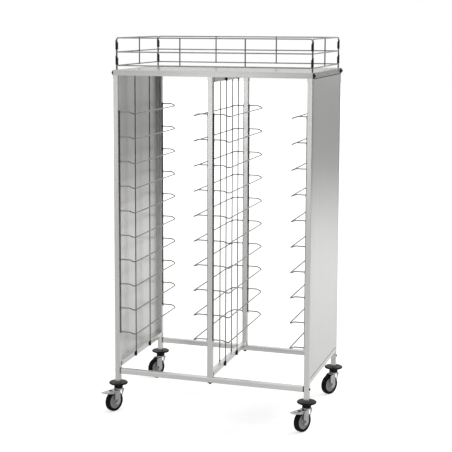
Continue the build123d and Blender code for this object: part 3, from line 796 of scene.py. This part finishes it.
@dataclass
class Studio:
    """White floor and surroundings, walls out of the picture, soft lights, and the camera.

    Sizes and places are in metres. The floor's lift is what its brightness gains for the camera, and the
    fade is how many times the shadow's reach it takes to become full white.
    """

    floor_size: float = 60.0
    floor_colour: str = "#F0F0F0"
    floor_lift: float = 0.55
    shadow_reach: float = 2.5
    fade: float = 3.0
    reflected_lift: float = 0.15
    soft_surround: float = 0.55
    white: float = 1.0
    target: tuple[float, float, float] = (0.0, 0.0, 0.95)

    def floor(self) -> None:
        """Lay a pale floor that keeps the trolley's shadow and reads as white everywhere else.

        Its lift rises with the distance from the trolley, which keeps the horizon white in every view.
        """
        select_only()
        bpy.ops.mesh.primitive_plane_add(size=self.floor_size)
        floor = bpy.context.view_layer.objects.active
        floor.name = "studio_floor"
        material = bpy.data.materials.new("white_studio_floor")
        material.use_nodes = True
        tree = material.node_tree
        tree.nodes.clear()
        matt = add_node(tree, "ShaderNodeBsdfDiffuse", {"Color": linear(self.floor_colour)})
        ray = add_node(tree, "ShaderNodeLightPath", {})
        place = add_node(tree, "ShaderNodeTexCoord", {})
        away = add_node(
            tree, "ShaderNodeVectorMath", {0: place.outputs["Object"]}, operation="LENGTH"
        )
        seen = add_node(
            tree, "ShaderNodeMapRange",
            {
                "Value": away.outputs["Value"],
                "From Min": self.shadow_reach, "From Max": self.fade * self.shadow_reach,
                "To Min": self.floor_lift, "To Max": self.white,
            },
        )
        reflected = add_node(
            tree, "ShaderNodeMath", {0: ray.outputs["Is Glossy Ray"], 1: self.reflected_lift},
            operation="MULTIPLY",
        )
        lift = add_node(
            tree, "ShaderNodeMath",
            {0: ray.outputs["Is Camera Ray"], 1: seen.outputs[0], 2: reflected.outputs[0]},
            operation="MULTIPLY_ADD",
        )
        glow = add_node(tree, "ShaderNodeEmission", {"Color": (1, 1, 1, 1), "Strength": lift.outputs[0]})
        both = add_node(tree, "ShaderNodeAddShader", {0: matt.outputs[0], 1: glow.outputs[0]})
        add_node(tree, "ShaderNodeOutputMaterial", {"Surface": both.outputs[0]})
        floor.data.materials.append(material)

    def wall(
        self, name: str, start: tuple[float, float], end: tuple[float, float], height: float, colour: str
    ) -> None:
        """Stand one matt wall that the steel reflects and the camera doesn't see.

        Args:
            name: The wall's name.
            start: One end of its foot, in metres.
            end: The other end of its foot.
            height: Its height.
            colour: Its colour, as "#RRGGBB".
        """
        run = Vector(end) - Vector(start)
        middle = (Vector(start) + Vector(end)) / 2
        select_only()
        bpy.ops.mesh.primitive_plane_add(size=1.0)
        wall = bpy.context.view_layer.objects.active
        wall.name = name
        heading = Matrix.Rotation(run.angle_signed(Vector((1, 0))), 4, "Z")
        turn = heading @ Matrix.Rotation(pi / 2, 4, "X")
        stretch = Matrix.Diagonal((run.length, height, 1, 1))
        wall.data.transform(Matrix.Translation((middle.x, middle.y, height / 2)) @ turn @ stretch)
        material = bpy.data.materials.new(name)
        material.use_nodes = True
        tree = material.node_tree
        tree.nodes.clear()
        matt = add_node(tree, "ShaderNodeBsdfDiffuse", {"Color": linear(colour)})
        add_node(tree, "ShaderNodeOutputMaterial", {"Surface": matt.outputs[0]})
        wall.data.materials.append(material)
        wall.visible_camera = False

    def walls(self) -> None:
        """Stand the walls: dark ones for the steel's dark faces, and a low pale one behind on the right."""
        self.wall("right_studio_wall", start=(7.0, -9.0), end=(7.0, 6.0), height=3.0, colour="#3C3C3C")
        self.wall("left_studio_wall", start=(-7.0, -9.0), end=(-7.0, 9.0), height=3.0, colour="#3C3C3C")
        self.wall("front_studio_wall", start=(0.6, -9.0), end=(7.0, -9.0), height=3.0, colour="#303030")
        self.wall("back_studio_wall", start=(0.9, 9.0), end=(7.0, 9.0), height=1.6, colour="#ECECEC")

    def world(self) -> None:
        """Surround the trolley with white for the camera and the metal, and with soft grey light."""
        world = bpy.data.worlds.new("white_surround")
        world.use_nodes = True
        bpy.context.scene.world = world
        tree = world.node_tree
        tree.nodes.clear()
        ray = add_node(tree, "ShaderNodeLightPath", {})
        seen = add_node(
            tree, "ShaderNodeMath",
            {0: ray.outputs["Is Camera Ray"], 1: ray.outputs["Is Transmission Ray"]},
            operation="MAXIMUM",
        )
        shown = add_node(
            tree, "ShaderNodeMath", {0: seen.outputs[0], 1: ray.outputs["Is Glossy Ray"]},
            operation="MAXIMUM",
        )
        strength = add_node(
            tree, "ShaderNodeMapRange",
            {"Value": shown.outputs[0], "To Min": self.soft_surround, "To Max": self.white},
        )
        light = add_node(
            tree, "ShaderNodeBackground", {"Color": (1, 1, 1, 1), "Strength": strength.outputs[0]}
        )
        add_node(tree, "ShaderNodeOutputWorld", {"Surface": light.outputs[0]})

    def lamp(
        self, name: str, place: tuple[float, float, float], size: tuple[float, float], power: float,
        mirrored: bool = True,
    ) -> None:
        """Hang one soft box that faces the trolley.

        Args:
            name: The lamp's name.
            place: Where it hangs, in metres.
            size: Its width and height.
            power: Its power in watts.
            mirrored: Whether the metal shows the lamp itself, besides the light that it sheds.
        """
        data = bpy.data.lights.new(name, "AREA")
        data.shape = "RECTANGLE"
        data.size, data.size_y = size
        data.energy = power
        lamp = bpy.data.objects.new(name, data)
        bpy.context.scene.collection.objects.link(lamp)
        aim = Vector(self.target) - Vector(place)
        lamp.matrix_world = Matrix.Translation(place) @ aim.to_track_quat("-Z", "Y").to_matrix().to_4x4()
        lamp.visible_camera = False
        lamp.visible_glossy = mirrored

    def lamps(self) -> None:
        """Hang the lights: main, fill, top and back, and a strip that the posts and flange reflect.

        The light from behind is strong, so the deck would mirror it as a white patch.
        """
        self.lamp("key_softbox", place=(-2.6, -4.2, 4.4), size=(3.0, 3.0), power=25.0)
        self.lamp("fill_softbox", place=(4.4, -2.2, 3.0), size=(3.0, 3.0), power=20.0)
        self.lamp("top_softbox", place=(0.0, 0.6, 5.2), size=(4.0, 3.0), power=10.0)
        self.lamp("back_softbox", place=(3.8, 4.2, 4.4), size=(3.0, 3.0), power=170.0, mirrored=False)
        self.lamp("front_strip", place=(-2.4, -8.0, 0.6), size=(0.9, 1.4), power=8.0)

    def camera(self) -> None:
        """Set up the camera of the reference view, solved from the trolley's straight edges.

        It was solved about the middle of the posts, which lies a little off the trolley's origin.
        """
        image = 452
        focal_pixels = 1191.24
        centre_x, centre_y = 200.34, 162.60
        posts_x, posts_y = 6.0 * MM, 27.0 * MM
        place = Vector((1.6991 + posts_x, -5.5896 + posts_y, 1.9162))
        yaw, pitch, roll = radians(-18.314), radians(6.873), radians(0.089)
        forward = Vector((sin(yaw) * cos(pitch), cos(yaw) * cos(pitch), -sin(pitch)))
        level = Vector((cos(yaw), -sin(yaw), 0.0))
        upright = level.cross(forward)
        right = level * cos(roll) + upright * sin(roll)
        up = upright * cos(roll) - level * sin(roll)
        data = bpy.data.cameras.new("reference_camera")
        data.sensor_fit = "HORIZONTAL"
        data.sensor_width = 36.0
        data.lens = focal_pixels / image * data.sensor_width
        data.shift_x = (image / 2 - centre_x) / image
        data.shift_y = (centre_y - image / 2) / image
        data.clip_end = 100.0
        camera = bpy.data.objects.new("reference_camera", data)
        bpy.context.scene.collection.objects.link(camera)
        turn = Matrix((right, up, -forward)).transposed().to_4x4()
        camera.matrix_world = Matrix.Translation(place) @ turn
        bpy.context.scene.camera = camera

    def build(self) -> None:
        """Build floor, walls, surroundings, lamps and camera."""
        self.floor()
        self.walls()
        self.world()
        self.lamps()
        self.camera()
        bpy.context.scene.view_settings.view_transform = "Standard"


def main() -> None:
    """Load the frame, dress it, add the welds and the lips, and set the studio."""
    logging.basicConfig(level=logging.INFO, format="%(name)s: %(message)s")
    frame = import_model()
    finishes = Finishes()
    for name, node in frame["nodes"].items():
        material = finishes.for_node(name)
        node.data.materials.clear()
        node.data.materials.append(material)
        log.info("%s: %s", name, material.name)
    WireWelds(finishes).build()
    TubeWelds(finishes).build()
    PanelLips(finishes).build()
    TyreLips(finishes, frame["joints"]).build()
    Studio().build()


if __name__ == "__main__":
    main()
